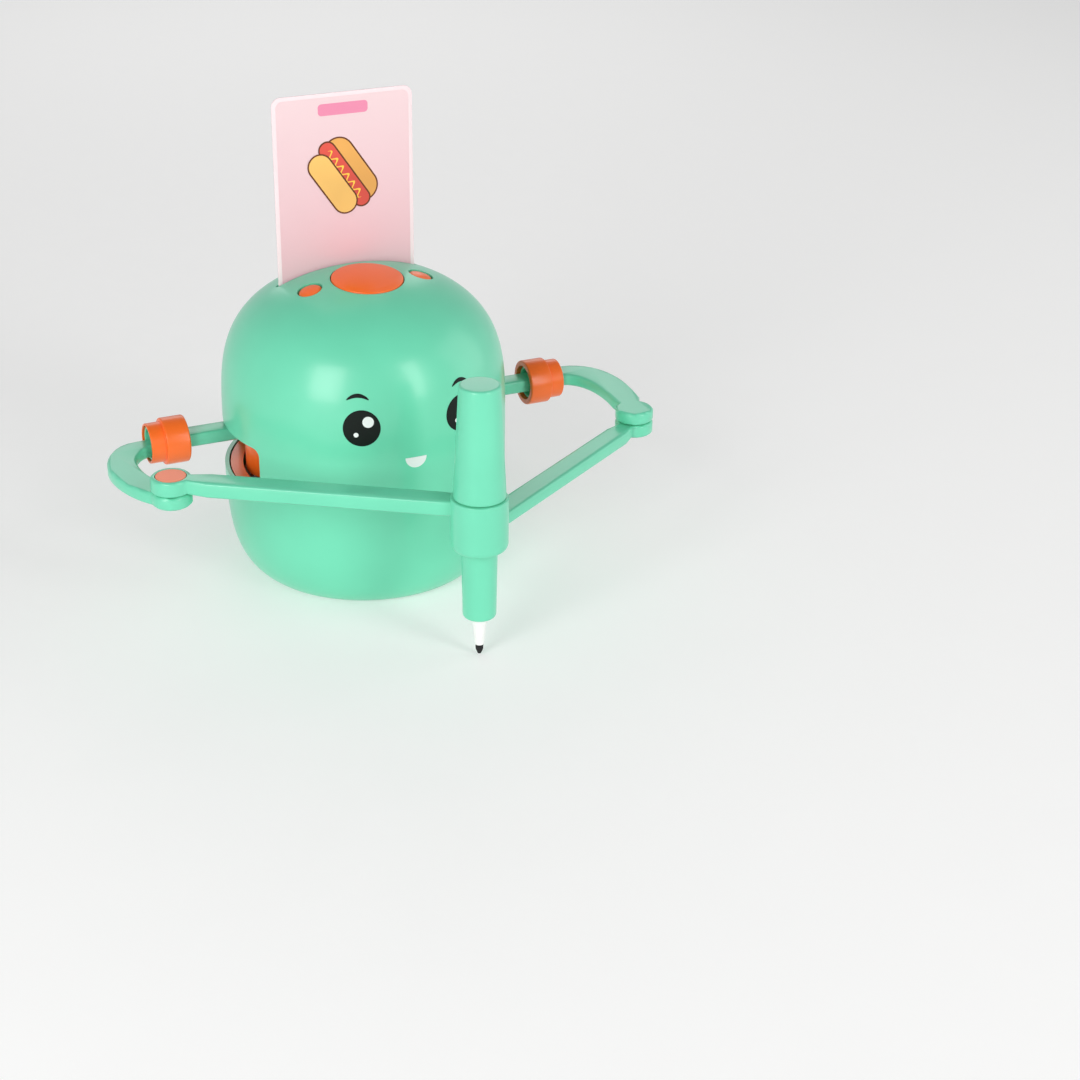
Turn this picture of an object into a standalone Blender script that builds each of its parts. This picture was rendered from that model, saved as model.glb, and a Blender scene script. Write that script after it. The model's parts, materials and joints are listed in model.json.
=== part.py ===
"""Desktop drawing robot: a barrel body whose two jointed arms carry a pen.

Metres, +Z up. The origin is the centre of the body where it stands, and the robot faces -Y.
Left and right are as seen from in front of it, so left is towards -X.
"""

from math import atan2, cos, hypot, pi, radians, sin

import bmesh
import bpy
from mathutils import Matrix, Vector

# ---- Driving dimensions, in metres ----
GAP = 0.0003  # between pieces that touch
RUNNING_GAP = 0.0004  # between pieces that turn or slide

# Body: a turned barrel, widest a little under half way up
BODY_RADIUS = 0.0552
WIDEST_Z = 0.0568
BODY_TOP = 0.1192
SHELL_BOTTOM = 0.0006
SHELL_WALL = 0.0016
SHOULDER_ROUNDING = (3.82, 1.94)  # superellipse powers along Z and along the radius, upper half
FOOT_ROUNDING = (4.17, 5.99)  # the same, lower half
LOWER_REACH = 0.0611  # depth at which the lower half would close
BASE_OPENING_RADIUS = 0.0385
PARTING_Y = 0.0400  # the rear cover starts here

# Side windows that the arms come out of
WINDOW_FROM = radians(66)  # measured round from the face
WINDOW_TO = radians(132)
WINDOW_BOTTOM = 0.0420
WINDOW_TOP = 0.0618
WINDOW_CORNER = 0.0030
LEDGE_DEPTH = 0.0048  # of the lining inside the window

# Top: buttons and the card slot
START_BUTTON_AT = (0.0, -0.0068)
START_BUTTON_RADIUS = 0.0137
SIDE_BUTTON_X = 0.0224
SIDE_BUTTON_Y = -0.0050
SIDE_BUTTON_RADIUS = 0.0045
BUTTON_TRAVEL = 0.0012
BUTTONS = (  # name, place on the plan, radius, sides of its mesh
    ("start_button", START_BUTTON_AT, START_BUTTON_RADIUS, 32),
    ("left_button", (-SIDE_BUTTON_X, SIDE_BUTTON_Y), SIDE_BUTTON_RADIUS, 20),
    ("right_button", (SIDE_BUTTON_X, SIDE_BUTTON_Y), SIDE_BUTTON_RADIUS, 20),
)
BUTTON_BOARD_TOP = 0.1010
SWITCH_SIZE = (0.0060, 0.0060, 0.0018)
CARD_SIZE = (0.0552, 0.0006, 0.0860)
CARD_BOTTOM_Z = 0.0990
CARD_X = -0.0016
CARD_Y = 0.0115
SLOT_SIZE = (0.0570, 0.0026)
CARD_GUIDE_BOTTOM = 0.0965

# Arms, in plan: shoulders, elbows and the pen
SHOULDER_X = 0.0320
SHOULDER_Y = 0.0104
ARM_AXIS_Z = 0.0570
ELBOW_AT = {"left": (-0.0876, -0.0346), "right": (0.1006, -0.0356)}
PEN_AT = (0.0081, -0.0962)
ELBOW_RADIUS = 0.0075
HUB_RADIUS = 0.0134
HUB_BOTTOM = 0.0384
HUB_TOP = 0.0630
STUB_WIDTH = 0.0084
STUB_HEIGHT = 0.0054
STUB_END = 0.0765  # distance of the stub's outer end from the middle plane
CUFF_INNER_X = {"left": 0.0696, "right": 0.0728}
CUFF_BIG_LENGTH = 0.0093
CUFF_SMALL_LENGTH = 0.0057
CUFF_BIG_RADIUS = 0.0091
CUFF_SMALL_RADIUS = 0.0078
CUFF_BORE_RADIUS = 0.0069
SLEEVE_RADIUS = 0.0066
SLEEVE_BORE_RADIUS = 0.0056

# Heights of the flat arms, bottom and top
UPPER_ARM_Z = {"left": (0.0525, 0.0575), "right": (0.0548, 0.0598)}
FOREARM_Z = {"left": (0.0578, 0.0636), "right": (0.0495, 0.0545)}
FOREARM_WIDTH = 0.0092
# Curved upper arms: stations of (x, y, width) from the cuff to the elbow
UPPER_ARM_STATIONS = {
    "left": [
        (-0.0778, 0.0104, 0.0066),
        (-0.0848, 0.0103, 0.0070),
        (-0.0920, 0.0076, 0.0102),
        (-0.0968, 0.0008, 0.0106),
        (-0.0984, -0.0080, 0.0112),
        (-0.0971, -0.0180, 0.0112),
        (-0.0934, -0.0270, 0.0110),
        (-0.0876, -0.0346, 0.0108),
    ],
    "right": [
        (0.0802, 0.0104, 0.0086),
        (0.0872, 0.0104, 0.0092),
        (0.0934, 0.0094, 0.0110),
        (0.0986, 0.0053, 0.0122),
        (0.1017, -0.0012, 0.0123),
        (0.1031, -0.0094, 0.0121),
        (0.1028, -0.0200, 0.0114),
        (0.1006, -0.0356, 0.0108),
    ],
}
PIN_HEAD_RADIUS = 0.0056
PIN_HEAD_THICKNESS = 0.0014
PIN_RADIUS = 0.0022

# Pen holder and pen
COLLAR_RADIUS = 0.0105
COLLAR_BORE_RADIUS = 0.0097
COLLAR_BOTTOM = 0.0440
COLLAR_TOP = 0.0647
HOLDER_BORE_RADIUS = 0.0070
COLLAR_SLOT = (radians(-14), radians(80))  # in the collar's wall, for the swing of the right forearm
COLLAR_SLOT_Z = (0.0488, 0.0552)
RING_RADIUS = 0.0091  # of the right forearm, inside the collar
RING_BORE_RADIUS = 0.0076  # 1 mm larger than the pen, because the arms' loop is open here
PEN_TOP = 0.1080
PEN_UPPER_RADII = (0.0096, 0.0075)  # at the collar and at the top
PEN_LOWER_RADII = (0.0066, 0.0062)  # in the holder and at the lower end
PEN_LOWER_END = 0.0165
FELT_PEN_RADIUS = 0.0042
NOSE_RADII = (0.0031, 0.0024, 0.0018)
NIB_TOP = 0.0046
NIB_TIP = 0.0005

# Inside and underneath
BASE_PLATE_Z = (0.0008, 0.0032)
CHASSIS_Z = (0.0345, 0.0369)
CHASSIS_RADIUS = 0.0480
POST_AT = (0.0285, 0.0194)
POST_RADIUS = 0.0035
CELL_RADIUS = 0.0071
CELL_LENGTH = 0.0500
DOOR_SIZE = (0.0445, 0.0570)
DOOR_SCREW_Y = 0.0255
CELL_Y = -0.0025
FOOT_RADIUS = 0.0045
FOOT_AT = (0.0290, 0.0150)
SERVO_SIZE = (0.0124, 0.0236, 0.0220)


# ---- Materials ----
def material(name, colour, roughness, metallic=0.0):
    made = bpy.data.materials.new(name)
    made.use_nodes = True
    shader = made.node_tree.nodes["Principled BSDF"]
    shader.inputs["Base Color"].default_value = (*colour, 1.0)
    shader.inputs["Roughness"].default_value = roughness
    shader.inputs["Metallic"].default_value = metallic
    made.diffuse_color = (*colour, 1.0)
    return made


def make_materials():
    return {
        "mint": material("mint_plastic", (0.16, 0.78, 0.50), 0.28),
        "orange": material("orange_plastic", (1.0, 0.14, 0.04), 0.35),
        "white": material("white_plastic", (0.85, 0.85, 0.83), 0.40),
        "dark": material("dark_plastic", (0.03, 0.03, 0.035), 0.50),
        "rubber": material("grey_rubber", (0.10, 0.10, 0.10), 0.80),
        "board": material("circuit_board", (0.02, 0.22, 0.08), 0.45),
        "steel": material("zinc_plated_steel", (0.62, 0.62, 0.60), 0.30, 1.0),
        "cell": material("battery_wrap", (0.30, 0.02, 0.02), 0.35),
        "card": material("printed_card", (0.96, 0.72, 0.76), 0.45),
        "felt": material("black_felt", (0.02, 0.02, 0.02), 0.95),
    }


# ---- Building blocks ----
def clear_scene():
    for old in list(bpy.data.objects):
        bpy.data.objects.remove(old)


def finish_mesh(name, mesh, look, owner=None, smooth_angle=35):
    """Puts a bmesh in world coordinates into the scene, under its owner's empty if it has one."""
    bmesh.ops.recalc_face_normals(mesh, faces=mesh.faces)
    data = bpy.data.meshes.new(name)
    mesh.to_mesh(data)
    mesh.free()
    data.shade_smooth()
    data.set_sharp_from_angle(angle=radians(smooth_angle))
    if look is not None:
        data.materials.append(look)
    made = bpy.data.objects.new(name, data)
    bpy.context.scene.collection.objects.link(made)
    if owner is not None:
        data.transform(Matrix.Translation(-owner.location))
        made.parent = owner
    return made


def pivot(name, at, parent=None):
    """An empty on a joint's axis. Its children move with it."""
    made = bpy.data.objects.new(name, None)
    bpy.context.scene.collection.objects.link(made)
    made.empty_display_size = 0.01
    made.location = at
    if parent is not None:
        made.parent = parent
        made.matrix_parent_inverse = Matrix.Translation(-Vector(parent.location))
    return made


def turned(name, outline, look, at=(0, 0), steps=24, owner=None, along=None):
    """Turns a closed outline of (radius, height) round a vertical axis, or round `along` through 3-D `at`."""
    mesh = bmesh.new()
    rings = []
    for radius, height in outline:
        if radius < 1e-6:
            rings.append([mesh.verts.new((0, 0, height))])
            continue
        turns = [2 * pi * step / steps for step in range(steps)]
        rings.append([mesh.verts.new((radius * cos(a), radius * sin(a), height)) for a in turns])
    for ring, following in zip(rings, rings[1:] + rings[:1]):
        join_rings(mesh, ring, following)
    centre = Vector(at) if len(at) == 3 else Vector((*at, 0))
    turn = Vector((0, 0, 1)).rotation_difference(Vector(along)).to_matrix().to_4x4() if along else Matrix()
    bmesh.ops.transform(mesh, matrix=Matrix.Translation(centre) @ turn, verts=mesh.verts)
    return finish_mesh(name, mesh, look, owner)


def join_rings(mesh, ring, following):
    """Faces between two rings, either of which may be a single point on the axis."""
    count = max(len(ring), len(following))
    if count == 1:
        return
    for i in range(count):
        j = (i + 1) % count
        if len(ring) == 1:
            mesh.faces.new((ring[0], following[i], following[j]))
        elif len(following) == 1:
            mesh.faces.new((ring[i], following[0], ring[j]))
        else:
            mesh.faces.new((ring[i], following[i], following[j], ring[j]))


def prism(name, outline, bottom, top, look, owner=None, rounding=0.0, segments=1):
    """Extrudes a closed plan outline, and rounds its top and bottom edges."""
    mesh = bmesh.new()
    floor = mesh.faces.new([mesh.verts.new((x, y, bottom)) for x, y in outline])
    grown = bmesh.ops.extrude_face_region(mesh, geom=[floor])
    raised = [item for item in grown["geom"] if isinstance(item, bmesh.types.BMVert)]
    bmesh.ops.translate(mesh, verts=raised, vec=(0, 0, top - bottom))
    if rounding:
        rims = [edge for edge in mesh.edges if abs(edge.verts[0].co.z - edge.verts[1].co.z) < 1e-7]
        bmesh.ops.bevel(mesh, geom=rims, offset=rounding, segments=segments, profile=0.5, affect="EDGES")
    return finish_mesh(name, mesh, look, owner)


def block(name, size, centre, look, owner=None, corner=0.0, rounding=0.0):
    """A box with rounded upright edges."""
    width, depth, height = size
    outline = rounded_rectangle(width, depth, corner, centre[0], centre[1])
    low = centre[2] - height / 2
    return prism(name, outline, low, low + height, look, owner, rounding, 1)


def rounded_rectangle(width, depth, corner, x=0.0, y=0.0, steps=4):
    if corner <= 0:
        signs = ((1, 1), (-1, 1), (-1, -1), (1, -1))
        return [(x + sx * width / 2, y + sy * depth / 2) for sx, sy in signs]
    points = []
    for quarter, (sx, sy) in enumerate(((1, 1), (-1, 1), (-1, -1), (1, -1))):
        cx = x + sx * (width / 2 - corner)
        cy = y + sy * (depth / 2 - corner)
        for step in range(steps + 1):
            angle = (quarter + step / steps) * pi / 2
            points.append((cx + corner * cos(angle), cy + corner * sin(angle)))
    return points


def circle(radius, x=0.0, y=0.0, steps=24):
    turns = [2 * pi * step / steps for step in range(steps)]
    return [(x + radius * cos(a), y + radius * sin(a)) for a in turns]


def cutter(made):
    made.hide_render = True
    made.display_type = "WIRE"
    return made


def cut(target, tool, operation="DIFFERENCE"):
    change = target.modifiers.new(f"{operation.lower()}_{tool.name}", "BOOLEAN")
    change.operation = operation
    change.solver = "EXACT"
    change.object = tool


def drill(target, name, radius, at, bottom, top, steps=24):
    """Bores an upright hole."""
    cut(target, cutter(prism(name, circle(radius, *at, steps), bottom, top, None)))


# ---- Body ----
def body_outline(inset=0.0, steps=9, bottom=SHELL_BOTTOM):
    """(radius, height) down the outer side of the barrel, from the top's middle to the bottom."""
    radius = BODY_RADIUS - inset
    along, across = SHOULDER_ROUNDING
    rise = BODY_TOP - WIDEST_Z - inset
    points = []
    for step in range(steps + 1):
        turn = pi / 2 * step / steps
        points.append((radius * sin(turn) ** (2 / across), WIDEST_Z + rise * cos(turn) ** (2 / along)))
    along, across = FOOT_ROUNDING
    drop = LOWER_REACH - inset
    for step in range(1, steps + 1):
        height = WIDEST_Z - (WIDEST_Z - bottom) * sin(pi / 2 * step / steps)
        depth = (WIDEST_Z - height) / drop
        points.append((radius * (1 - depth**along) ** (1 / across), height))
    return points


def dome_height(x, y):
    """Height of the barrel's outside over a point of the plan, upper half."""
    along, across = SHOULDER_ROUNDING
    out = hypot(x, y) / BODY_RADIUS
    return WIDEST_Z + (BODY_TOP - WIDEST_Z) * (1 - out**across) ** (1 / along)


def dome_normal(x, y):
    """Unit vector square to the barrel's outside over a point of the plan, upper half."""
    step = 0.0001
    slope_x = (dome_height(x + step, y) - dome_height(x - step, y)) / (2 * step)
    slope_y = (dome_height(x, y + step) - dome_height(x, y - step)) / (2 * step)
    return Vector((-slope_x, -slope_y, 1)).normalized()


def window_cutter(side):
    """A rounded rectangle that passes straight out through the wall, square to the window's middle."""
    sign = -1 if side == "left" else 1
    middle = (WINDOW_FROM + WINDOW_TO) / 2
    width = 2 * BODY_RADIUS * sin((WINDOW_TO - WINDOW_FROM) / 2)
    outline = rounded_rectangle(width, WINDOW_TOP - WINDOW_BOTTOM, WINDOW_CORNER)
    made = prism(f"{side}_window_cutter", outline, 0.0250, 0.0700, None)
    outward = Vector((sign * sin(middle), -cos(middle), 0))
    upward = Vector((0, 0, 1))
    turn = Matrix((upward.cross(outward), upward, outward)).transposed().to_4x4()
    height = Vector((0, 0, (WINDOW_TOP + WINDOW_BOTTOM) / 2))
    made.data.transform(Matrix.Translation(height) @ turn)
    return cutter(made)


def make_shells(looks):
    outer = body_outline()
    inner = body_outline(SHELL_WALL, 6, 0.0040)
    lip = [(BASE_OPENING_RADIUS, 0.0040), (BASE_OPENING_RADIUS, SHELL_BOTTOM)]
    outline = outer + lip[::-1] + inner[::-1]
    windows = [window_cutter(side) for side in ("left", "right")]
    front_space = block("front_space", (0.2, 0.2, 0.2), (0, PARTING_Y - 0.1, 0.06), None)
    rear_space = block("rear_space", (0.2, 0.2, 0.2), (0, PARTING_Y + GAP + 0.1, 0.06), None)
    slot = block("card_slot", (*SLOT_SIZE, 0.03), (CARD_X, CARD_Y, BODY_TOP), None, corner=0.0008)
    front = turned("front_shell", outline, looks["mint"], steps=48)
    rear = turned("rear_shell", outline, looks["mint"], steps=48)
    cut(front, cutter(front_space), "INTERSECT")
    cut(rear, cutter(rear_space), "INTERSECT")
    for window in windows:
        cut(front, window)
    cut(front, cutter(slot))
    for name, at, radius, steps in BUTTONS:
        shaft = [(radius + RUNNING_GAP, 0.008), (radius + RUNNING_GAP, -0.008), (0, -0.008), (0, 0.008)]
        middle = (*at, dome_height(*at))
        hole = turned(f"{name}_hole", shaft, None, middle, steps, along=dome_normal(*at))
        cut(front, cutter(hole))


def make_button(name, at, radius, steps, looks):
    """A domed cap square to the top of the body, on a plunger over its switch on the board."""
    normal = dome_normal(*at)
    seat = Vector((*at, dome_height(*at)))
    owner = pivot(f"{name}_slide", seat)
    switch_top = BUTTON_BOARD_TOP + GAP + SWITCH_SIZE[2]
    plunger = (seat.z - switch_top) / normal.z - BUTTON_TRAVEL - 0.0008
    crown = 0.0012 if radius > 0.01 else 0.0007
    rim = -0.0006
    outline = [(0, rim + crown), (radius * 0.45, rim + crown * 0.82), (radius * 0.8, rim + crown * 0.38)]
    outline += [(radius, rim - 0.0004), (radius, rim - 0.0050), (radius - 0.0012, rim - 0.0050)]
    outline += [(radius - 0.0012, rim - 0.0022), (0.0017, rim - 0.0022), (0.0017, -plunger), (0, -plunger)]
    turned(name, outline, looks["orange"], seat, steps, owner, along=normal)

    reach = (seat.z - switch_top) / normal.z
    under = seat - normal * reach
    centre = (under.x, under.y, switch_top - SWITCH_SIZE[2] / 2)
    block(name.replace("button", "switch"), SWITCH_SIZE, centre, looks["dark"], corner=0.0006)


def make_top_controls(looks):
    board = (0.0560, 0.0120, 0.0016)
    block("button_board", board, (0, -0.0060, BUTTON_BOARD_TOP - board[2] / 2), looks["board"])
    for name, at, radius, steps in BUTTONS:
        make_button(name, at, radius, steps, looks)


def make_card_parts(looks):
    width, thickness, height = CARD_SIZE
    owner = pivot("card_slide", (CARD_X, CARD_Y, CARD_BOTTOM_Z))
    outline = rounded_rectangle(width, height, 0.0035, CARD_X, CARD_BOTTOM_Z + height / 2)
    mesh = bmesh.new()
    face = mesh.faces.new([mesh.verts.new((x, CARD_Y - thickness / 2, z)) for x, z in outline])
    grown = bmesh.ops.extrude_face_region(mesh, geom=[face])
    moved = [item for item in grown["geom"] if isinstance(item, bmesh.types.BMVert)]
    bmesh.ops.translate(mesh, verts=moved, vec=(0, thickness, 0))
    finish_mesh("picture_card", mesh, looks["card"], owner)

    guide_top = dome_height(0.0300, CARD_Y + 0.0060) - SHELL_WALL - 0.0025
    middle_z = (CARD_GUIDE_BOTTOM + guide_top) / 2
    tall = guide_top - CARD_GUIDE_BOTTOM
    guide_at = (CARD_X, CARD_Y, middle_z)
    guide = block("card_guide", (0.0605, 0.0070, tall), guide_at, looks["white"], corner=0.001)
    pocket = (0.0566, 0.0020, tall)
    cut(guide, cutter(block("card_pocket", pocket, (CARD_X, CARD_Y, middle_z + 0.0015), None)))
    reader_y = CARD_Y + 0.0035 + GAP + 0.0008
    block("card_reader_board", (0.0500, 0.0016, 0.0100), (0, reader_y, middle_z), looks["board"])


def make_lining(side, looks):
    """Curved ledge inside the window's lower edge, on a skirt that stands on the chassis plate."""
    sign = -1 if side == "left" else 1
    outside = BODY_RADIUS - SHELL_WALL - 2 * GAP
    floor = CHASSIS_Z[1] + GAP
    top = WINDOW_BOTTOM - GAP
    wall = 0.0012
    edge = outside - LEDGE_DEPTH
    profile = [(edge, top), (edge, top - wall), (outside - wall, top - wall)]
    profile += [(outside - wall, floor), (outside, floor), (outside, top)]
    mesh = bmesh.new()
    start, end, steps = WINDOW_FROM - radians(6), WINDOW_TO + radians(3), 16
    rows = []
    for step in range(steps + 1):
        angle = start + (end - start) * step / steps
        rows.append([mesh.verts.new((sign * r * sin(angle), -r * cos(angle), z)) for r, z in profile])
    mesh.faces.new(rows[0])
    mesh.faces.new(rows[-1])
    for row, following in zip(rows, rows[1:]):
        join_rings(mesh, row, following)
    return finish_mesh(f"{side}_window_lining", mesh, looks["orange"])


# ---- Base and inside ----
def make_base(looks):
    low, high = BASE_PLATE_Z
    plate = prism("base_plate", circle(BASE_OPENING_RADIUS - GAP, steps=40), low, high, looks["dark"])
    door_hole = block("door_hole", (*DOOR_SIZE, 0.01), (0, 0, 0.002), None, corner=0.003)
    cut(plate, cutter(door_hole))
    door_size = (DOOR_SIZE[0] - 2 * GAP, DOOR_SIZE[1] - 2 * GAP, high - low)
    door = block("battery_door", door_size, (0, 0, (low + high) / 2), looks["dark"], corner=0.0027)
    screw_at = (0, DOOR_SCREW_Y)
    drill(door, "door_screw_hole", 0.0018, screw_at, 0, 0.01, 16)
    screw = [(0, 0.0090), (0.0013, 0.0090), (0.0013, low), (0.0, low)]
    turned("battery_door_screw", screw, looks["steel"], screw_at, 12)
    for x_sign, x_name in ((-1, "left"), (1, "right")):
        for y_sign, y_name in ((-1, "front"), (1, "rear")):
            at = (x_sign * FOOT_AT[0], y_sign * FOOT_AT[1])
            name = f"foot_{y_name}_{x_name}"
            drill(plate, f"{name}_seat", FOOT_RADIUS + GAP, at, 0, low + 0.0010, 20)
            prism(name, circle(FOOT_RADIUS, *at, 20), 0, low + 0.0010 - GAP, looks["rubber"], None, 0.0003, 1)
    switch_at = (0, -0.0325)
    opening = block("switch_opening", (0.0110, 0.0050, 0.01), (*switch_at, 0.002), None)
    cut(plate, cutter(opening))
    owner = pivot("power_switch_slide", (*switch_at, low))
    knob = (0.0050, 0.0042, 0.0030)
    knob_at = (switch_at[0] - 0.0020, switch_at[1], low + 0.0015)
    block("power_switch", knob, knob_at, looks["orange"], owner, 0.0006)
    body = (0.0130, 0.0054, 0.0060)
    block("switch_body", body, (*switch_at, high + 2 * GAP + 0.0040), looks["steel"])


def make_power(looks):
    tray_low = BASE_PLATE_Z[1] + GAP
    tray_size = (0.0470, 0.0584, 0.0165)
    tray = block("battery_tray", tray_size, (0, 0, tray_low + tray_size[2] / 2), looks["dark"], corner=0.002)
    pocket = block("tray_pocket", (0.0440, 0.0512, 0.0150), (0, CELL_Y, tray_low + 0.0075 - 0.0005), None)
    cut(tray, cutter(pocket))
    drill(tray, "tray_screw_hole", 0.0016, (0, DOOR_SCREW_Y), 0.0, 0.0100, 16)
    for index in range(3):
        x = (index - 1) * (2 * CELL_RADIUS + 0.0004)
        height = tray_low + CELL_RADIUS + 0.0001
        half = CELL_LENGTH / 2
        outline = [(0, half), (0.0026, half), (0.0026, half - 0.0015), (CELL_RADIUS, half - 0.0015)]
        outline += [(CELL_RADIUS, -half), (0, -half)]
        cell_at = (x, CELL_Y, height)
        turned(f"battery_cell_{index + 1}", outline, looks["cell"], cell_at, 16, along=(0, 1, 0))


def make_chassis(looks):
    low, high = CHASSIS_Z
    plate = prism("chassis_plate", circle(CHASSIS_RADIUS, steps=32), low, high, looks["white"])
    for x_sign in (-1, 1):
        at = (x_sign * SHOULDER_X, SHOULDER_Y)
        side = "left" if x_sign < 0 else "right"
        drill(plate, f"{side}_shaft_hole", 0.0036, at, 0.03, 0.04, 20)
    number = 0
    for x_sign in (-1, 1):
        for y_sign in (-1, 1):
            number += 1
            x, y = x_sign * POST_AT[0], y_sign * POST_AT[1]
            outline = circle(POST_RADIUS, x, y, 12)
            prism(f"chassis_post_{number}", outline, BASE_PLATE_Z[1] + GAP, low - GAP, looks["white"])
    for side, sign in (("left", -1), ("right", 1)):
        width, depth, tall = SERVO_SIZE
        centre = (sign * SHOULDER_X, SHOULDER_Y - 0.0070, low - GAP - tall / 2)
        servo = block(f"{side}_servo", SERVO_SIZE, centre, looks["dark"], corner=0.001)
        round_shaft = circle(0.0028, sign * SHOULDER_X, SHOULDER_Y, 16)
        shaft = cutter(prism(f"{side}_servo_shaft", round_shaft, 0.030, 0.0440, None))
        cut(servo, shaft, "UNION")
    board_z = high + GAP + 0.0008
    block("main_board", (0.0340, 0.0260, 0.0016), (0, -0.0180, board_z), looks["board"], corner=0.001)
    speaker = [(0, 0.0080), (0.0070, 0.0080), (0.0070, 0.0040), (0.0140, 0.0015), (0.0140, 0), (0, 0)]
    turned("speaker", speaker, looks["dark"], (0, 0.0300, high + GAP), 24)


# ---- Arms ----
def smooth_stations(stations, per_span=3):
    """Points along a Catmull-Rom curve through the stations."""
    points = []
    padded = [stations[0]] + stations + [stations[-1]]
    for a, b, c, d in zip(padded, padded[1:], padded[2:], padded[3:]):
        for step in range(per_span):
            t = step / per_span
            weights = (
                -0.5 * t + t * t - 0.5 * t**3,
                1 - 2.5 * t * t + 1.5 * t**3,
                0.5 * t + 2 * t * t - 1.5 * t**3,
                -0.5 * t * t + 0.5 * t**3,
            )
            points.append(tuple(sum(w * p[k] for w, p in zip(weights, (a, b, c, d))) for k in range(3)))
    return points + [tuple(stations[-1])]


def arm_plan(stations, end_radius, start_radius=0.0):
    """Closed outline of a bar along (x, y, width) points, with a round eye at its end and maybe its start."""
    sides = {1: [], -1: []}
    last = len(stations) - 1
    for i, (x, y, width) in enumerate(stations):
        before, after = stations[max(i - 1, 0)], stations[min(i + 1, last)]
        heading = atan2(after[1] - before[1], after[0] - before[0])
        for sign in (1, -1):
            point = (x - sign * sin(heading) * width / 2, y + sign * cos(heading) * width / 2)
            clear_of_end = hypot(point[0] - stations[-1][0], point[1] - stations[-1][1]) > end_radius
            clear_of_start = hypot(point[0] - stations[0][0], point[1] - stations[0][1]) >= start_radius
            if clear_of_end and clear_of_start:
                sides[sign].append(point)
    outline = list(sides[-1])
    outline += eye_arc(stations[-1], end_radius, sides[-1][-1], sides[1][-1])
    outline += sides[1][::-1]
    if start_radius:
        outline += eye_arc(stations[0], start_radius, sides[1][0], sides[-1][0])
    return outline


def eye_arc(centre, radius, leave, arrive, steps=18):
    """Points round an eye, counterclockwise from near one side of its bar to near the other."""
    start = atan2(leave[1] - centre[1], leave[0] - centre[0])
    end = atan2(arrive[1] - centre[1], arrive[0] - centre[0])
    if end <= start:
        end += 2 * pi
    margin = (end - start) * 0.02
    turns = [start + margin + (end - start - 2 * margin) * k / steps for k in range(steps + 1)]
    return [(centre[0] + radius * cos(a), centre[1] + radius * sin(a)) for a in turns]


def cuff_ring(side, looks, owner):
    """Two-step collar round the joint of the stub and the curved arm, bored through."""
    sign = -1 if side == "left" else 1
    inner, big, small = CUFF_INNER_X[side], CUFF_BIG_RADIUS, CUFF_SMALL_RADIUS
    step = inner + CUFF_BIG_LENGTH
    end = step + CUFF_SMALL_LENGTH
    soft = 0.0006
    outline = [(CUFF_BORE_RADIUS, end), (small - soft, end), (small, end - soft), (small, step)]
    outline += [(big - soft, step), (big, step - soft), (big, inner + soft), (big - soft, inner)]
    outline += [(CUFF_BORE_RADIUS, inner)]
    at = (0, SHOULDER_Y, ARM_AXIS_Z)
    return turned(f"{side}_cuff", outline, looks["orange"], at, 28, owner, along=(sign, 0, 0))


def make_upper_arm(side, looks):
    sign = -1 if side == "left" else 1
    shoulder = (sign * SHOULDER_X, SHOULDER_Y)
    owner = pivot(f"{side}_shoulder", (*shoulder, ARM_AXIS_Z))
    hub_outline = [(0.0032, HUB_TOP), (HUB_RADIUS - 0.0020, HUB_TOP), (HUB_RADIUS, HUB_TOP - 0.0020)]
    hub_outline += [(HUB_RADIUS, HUB_BOTTOM), (0.0032, HUB_BOTTOM)]
    hub = turned(f"{side}_shoulder_hub", hub_outline, looks["orange"], shoulder, 28, owner)
    socket_size = (0.0080, STUB_WIDTH + 2 * GAP, STUB_HEIGHT + 2 * GAP)
    socket_x = sign * (SHOULDER_X + HUB_RADIUS - 0.0030)
    cut(hub, cutter(block(f"{side}_hub_socket", socket_size, (socket_x, SHOULDER_Y, ARM_AXIS_Z), None)))

    screw = [(0, 0.0648), (0.0026, 0.0648), (0.0026, HUB_TOP + GAP), (0.0014, HUB_TOP + GAP)]
    screw += [(0.0014, 0.0445), (0, 0.0445)]
    turned(f"{side}_hub_screw", screw, looks["steel"], shoulder, 12, owner)

    start = SHOULDER_X + HUB_RADIUS - 0.0070 + GAP
    stub_size = (STUB_END - start, STUB_WIDTH, STUB_HEIGHT)
    stub_at = (sign * (STUB_END + start) / 2, SHOULDER_Y, ARM_AXIS_Z)
    block(f"{side}_arm_stub", stub_size, stub_at, looks["mint"], owner, corner=0.0, rounding=0.0008)

    inner = CUFF_INNER_X[side] + 0.0016
    outer = CUFF_INNER_X[side] + CUFF_BIG_LENGTH + CUFF_SMALL_LENGTH - 0.0008
    sleeve = [(SLEEVE_BORE_RADIUS, outer), (SLEEVE_RADIUS, outer)]
    sleeve += [(SLEEVE_RADIUS, inner), (SLEEVE_BORE_RADIUS, inner)]
    axis_at = (0, SHOULDER_Y, ARM_AXIS_Z)
    turned(f"{side}_arm_sleeve", sleeve, looks["mint"], axis_at, 24, owner, along=(sign, 0, 0))
    cuff_ring(side, looks, owner)

    low, high = UPPER_ARM_Z[side]
    outline = arm_plan(smooth_stations(UPPER_ARM_STATIONS[side]), ELBOW_RADIUS)
    if side == "left":
        outline.reverse()
    arm = prism(f"{side}_upper_arm", outline, low, high, looks["mint"], owner, 0.0009)
    hole_top = 0.07 if side == "left" else high - 0.0010
    drill(arm, f"{side}_upper_arm_pin_hole", PIN_RADIUS + GAP, ELBOW_AT[side], 0.04, hole_top)
    return owner


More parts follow.
